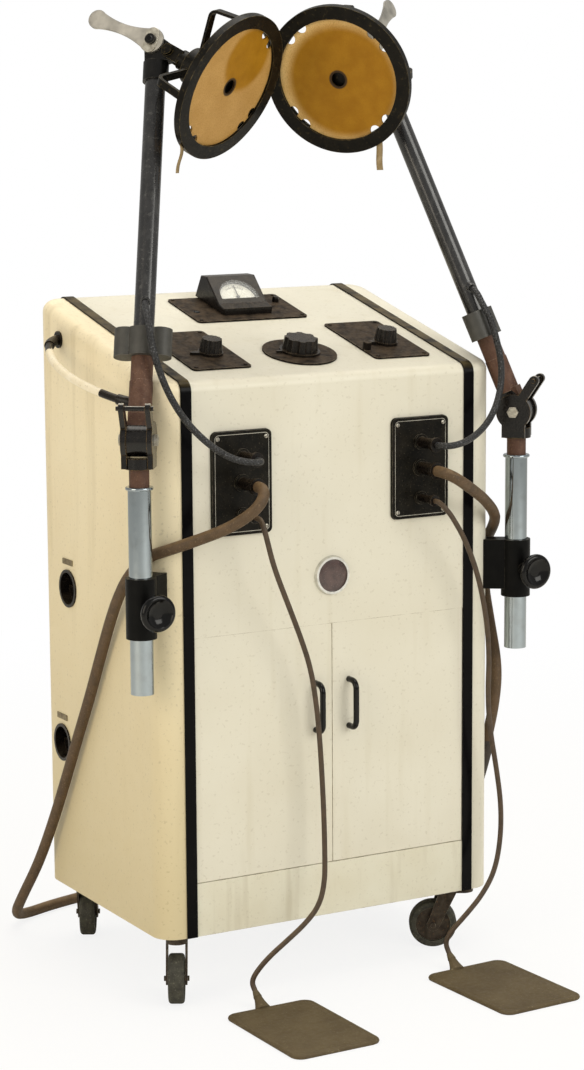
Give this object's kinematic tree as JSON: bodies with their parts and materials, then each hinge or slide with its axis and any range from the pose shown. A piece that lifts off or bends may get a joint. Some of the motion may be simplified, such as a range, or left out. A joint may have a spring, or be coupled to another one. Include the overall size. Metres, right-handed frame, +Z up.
{
  "type": "short-wave diathermy machine",
  "caption": "Wheeled sloping-top therapy cabinet with doors, knobs and a meter, and jointed arms that carry round caged electrodes, with cords and pads.",
  "frame": {"origin": "centre of the footprint on the floor, without the cords and pads", "axes": "+X to the right seen from the front, +Y to the back, +Z up"},
  "size_m": [0.7318, 0.8723, 1.4807],
  "materials": {
    "cabinet_enamel": "stoved cream enamel, satin gloss",
    "back_enamel": "stoved cream enamel, satin",
    "pan_enamel": "cream enamel, duller underneath",
    "black_strip": "gloss black trim",
    "black_plate": "satin black panel plate",
    "bakelite": "dark moulded phenolic",
    "meter_window": "clear glass",
    "needle_black": "thin black pointer",
    "badge_chrome": "plain plated ring round a bare enamel disc",
    "handle_paint": "cream bar on black feet",
    "caster_steel": "dull plated steel, worn",
    "caster_rubber": "dark hard rubber with a grey hub",
    "clamp_black": "satin black cast clamps",
    "knob_black": "gloss black moulded knob",
    "mast_chrome": "plated tube, faintly brushed",
    "joint_black": "gloss black, worn at the edges",
    "bolt_steel": "worn bright steel",
    "rod_rust": "rusted brown steel",
    "collar_grey": "dark grey crackle",
    "arm_black": "satin black tube with scuffs",
    "head_grey": "dark grey casting",
    "lever_grey": "worn grey-black lever",
    "cage_black": "black straps and ring, bronze wear on the rim",
    "amber_disc": "amber insulating sheet, slightly clouded",
    "braid_black": "black braid with light flecks",
    "cable_brown": "brown rubber sheath, dusty",
    "sleeve_dark": "dark rubber sleeve",
    "cord_brown": "thin dark brown cord",
    "pad_rubber": "worn grey-brown rubber"
  },
  "bodies": {
    "cabinet": {"side_panels": "cabinet_enamel", "wrap_panel": "cabinet_enamel", "trim_strips": "black_strip", "base_pan": "pan_enamel", "deck_shelf": "pan_enamel", "back_panel": "back_enamel", "mains_gland": "bakelite", "top_plates": "black_plate", "meter_housing": "bakelite", "meter_glass": "meter_window", "terminal_plates": "black_plate", "terminal_plugs": "bakelite", "badge_ring": "badge_chrome", "side_ports": "bakelite", "side_handle": "handle_paint", "clamps": "clamp_black", "lead_left": "braid_black", "lead_right": "braid_black", "treatment_cable": "cable_brown", "cable_sleeve": "sleeve_dark", "pad_cord_left": "cord_brown", "pad_cord_right": "cord_brown", "pad_left": "pad_rubber", "pad_right": "pad_rubber"},
    "door_left": {"door_left": "cabinet_enamel"},
    "door_right": {"door_right": "cabinet_enamel"},
    "knob_left": {"knob_left": "bakelite"},
    "knob_right": {"knob_right": "bakelite"},
    "tuning_knob": {"tuning_knob": "bakelite"},
    "needle": {"meter_needle": "needle_black"},
    "caster_front_left": {"caster_fork_front_left": "caster_steel"},
    "wheel_front_left": {"caster_wheel_front_left": "caster_rubber"},
    "caster_front_right": {"caster_fork_front_right": "caster_steel"},
    "wheel_front_right": {"caster_wheel_front_right": "caster_rubber"},
    "caster_rear_left": {"caster_fork_rear_left": "caster_steel"},
    "wheel_rear_left": {"caster_wheel_rear_left": "caster_rubber"},
    "caster_rear_right": {"caster_fork_rear_right": "caster_steel"},
    "wheel_rear_right": {"caster_wheel_rear_right": "caster_rubber"},
    "clamp_screw_left": {"clamp_knob_left": "knob_black"},
    "mast_left": {"mast_tube_left": "mast_chrome"},
    "knuckle_left": {"knuckle_left": "joint_black", "elbow_bolt_left": "bolt_steel"},
    "arm_left": {"elbow_tube_left": "rod_rust", "collar_left": "collar_grey", "upper_tube_left": "arm_black"},
    "head_left": {"head_block_left": "head_grey"},
    "electrode_left": {"electrode_frame_left": "cage_black", "electrode_disc_left": "amber_disc"},
    "lever_left": {"lever_left": "lever_grey"},
    "clamp_screw_right": {"clamp_knob_right": "knob_black"},
    "mast_right": {"mast_tube_right": "mast_chrome"},
    "knuckle_right": {"knuckle_right": "joint_black", "elbow_bolt_right": "bolt_steel"},
    "arm_right": {"elbow_tube_right": "rod_rust", "collar_right": "collar_grey", "upper_tube_right": "arm_black"},
    "head_right": {"head_block_right": "head_grey"},
    "electrode_right": {"electrode_frame_right": "cage_black", "electrode_disc_right": "amber_disc"},
    "lever_right": {"lever_right": "lever_grey"}
  },
  "joints": [
    {"name": "door_left_hinge", "type": "hinge", "parent": "cabinet", "child": "door_left", "pos_m": [-0.225, -0.17, 0.37], "axis": [0, 0, -1], "range_deg": [0, 90], "deforming": ["pad_cord_left"]},
    {"name": "door_right_hinge", "type": "hinge", "parent": "cabinet", "child": "door_right", "pos_m": [0.225, -0.17, 0.37], "axis": [0, 0, 1], "range_deg": [0, 90], "deforming": ["pad_cord_right"]},
    {"name": "switch_turn_left", "type": "hinge", "parent": "cabinet", "child": "knob_left", "pos_m": [-0.145, -0.07016, 0.95619], "axis": [0, -0.2381, 0.9712], "range_deg": [-110, 40]},
    {"name": "switch_turn_right", "type": "hinge", "parent": "cabinet", "child": "knob_right", "pos_m": [0.158, -0.07016, 0.95619], "axis": [0, -0.2381, 0.9712], "range_deg": [-110, 40]},
    {"name": "tuning_turn", "type": "hinge", "parent": "cabinet", "child": "tuning_knob", "pos_m": [0, -0.08279, 0.9531], "axis": [0, -0.2381, 0.9712], "range_deg": [-90, 90]},
    {"name": "needle_swing", "type": "hinge", "parent": "cabinet", "child": "needle", "pos_m": [0.006, 0.12122, 1.02486], "axis": [0, -0.706, 0.7082], "range_deg": [-45, 45]},
    {"name": "caster_swivel_front_left", "type": "hinge", "parent": "cabinet", "child": "caster_front_left", "pos_m": [-0.244, -0.131, 0.08], "axis": [0, 0, 1], "continuous": true},
    {"name": "caster_roll_front_left", "type": "hinge", "parent": "caster_front_left", "child": "wheel_front_left", "pos_m": [-0.25864, -0.15719, 0.0375], "axis": [0.8729, -0.4879, 0], "continuous": true},
    {"name": "caster_swivel_front_right", "type": "hinge", "parent": "cabinet", "child": "caster_front_right", "pos_m": [0.244, -0.131, 0.08], "axis": [0, 0, 1], "continuous": true},
    {"name": "caster_roll_front_right", "type": "hinge", "parent": "caster_front_right", "child": "wheel_front_right", "pos_m": [0.21781, -0.11636, 0.0375], "axis": [-0.4879, -0.8729, 0], "continuous": true},
    {"name": "caster_swivel_rear_left", "type": "hinge", "parent": "cabinet", "child": "caster_rear_left", "pos_m": [-0.244, 0.189, 0.08], "axis": [0, 0, 1], "continuous": true},
    {"name": "caster_roll_rear_left", "type": "hinge", "parent": "caster_rear_left", "child": "wheel_rear_left", "pos_m": [-0.22936, 0.21519, 0.0375], "axis": [-0.8729, 0.4879, 0], "continuous": true},
    {"name": "caster_swivel_rear_right", "type": "hinge", "parent": "cabinet", "child": "caster_rear_right", "pos_m": [0.244, 0.189, 0.08], "axis": [0, 0, 1], "continuous": true},
    {"name": "caster_roll_rear_right", "type": "hinge", "parent": "caster_rear_right", "child": "wheel_rear_right", "pos_m": [0.27019, 0.17436, 0.0375], "axis": [0.4879, 0.8729, 0], "continuous": true},
    {"name": "clamp_screw_left", "type": "hinge", "parent": "cabinet", "child": "clamp_screw_left", "pos_m": [-0.323, -0.248, 0.613], "axis": [0, -1, 0], "range_deg": [-90, 90]},
    {"name": "mast_slide_left", "type": "slide", "parent": "cabinet", "child": "mast_left", "axis": [0, 0, 1], "range_m": [0, 0.08]},
    {"name": "knuckle_turn_left", "type": "hinge", "parent": "mast_left", "child": "knuckle_left", "pos_m": [-0.323, -0.188, 0.78], "axis": [0, 0, 1], "range_deg": [-3, 120]},
    {"name": "elbow_left", "type": "hinge", "parent": "knuckle_left", "child": "arm_left", "pos_m": [-0.323, -0.188, 0.856], "axis": [-0.8202, 0.5721, 0], "range_deg": [-28, 0], "deforming": ["lead_left"]},
    {"name": "head_turn_left", "type": "hinge", "parent": "arm_left", "child": "head_left", "pos_m": [-0.18854, 0.00474, 1.40697], "axis": [0.2245, 0.3218, 0.9198], "range_deg": [-90, 15]},
    {"name": "electrode_tilt_left", "type": "hinge", "parent": "head_left", "child": "electrode_left", "pos_m": [-0.17549, -0.01707, 1.39837], "axis": [0.7206, 0.5806, -0.379], "range_deg": [-20, 5]},
    {"name": "lever_left", "type": "hinge", "parent": "head_left", "child": "lever_left", "pos_m": [-0.18937, 0.01031, 1.41393], "axis": [0.7206, 0.5806, -0.379], "range_deg": [-30, 30]},
    {"name": "clamp_screw_right", "type": "hinge", "parent": "cabinet", "child": "clamp_screw_right", "pos_m": [0.323, -0.248, 0.613], "axis": [0, -1, 0], "range_deg": [-90, 90]},
    {"name": "mast_slide_right", "type": "slide", "parent": "cabinet", "child": "mast_right", "axis": [0, 0, 1], "range_m": [0, 0.08]},
    {"name": "knuckle_turn_right", "type": "hinge", "parent": "mast_right", "child": "knuckle_right", "pos_m": [0.323, -0.188, 0.78], "axis": [0, 0, 1], "range_deg": [-120, 2]},
    {"name": "elbow_right", "type": "hinge", "parent": "knuckle_right", "child": "arm_right", "pos_m": [0.323, -0.188, 0.856], "axis": [-0.7361, -0.6769, 0], "range_deg": [-28, 0], "deforming": ["lead_right"]},
    {"name": "head_turn_right", "type": "hinge", "parent": "arm_right", "child": "head_right", "pos_m": [0.16393, -0.01501, 1.40697], "axis": [-0.2656, 0.2888, 0.9198], "range_deg": [-15, 90]},
    {"name": "electrode_tilt_right", "type": "hinge", "parent": "head_right", "child": "electrode_right", "pos_m": [0.14678, -0.03109, 1.39403], "axis": [0.4604, -0.8003, 0.3842], "range_deg": [-60, 20]},
    {"name": "lever_right", "type": "hinge", "parent": "head_right", "child": "lever_right", "pos_m": [0.16519, -0.0106, 1.41465], "axis": [0.4604, -0.8003, 0.3842], "range_deg": [-30, 30]}
  ]
}
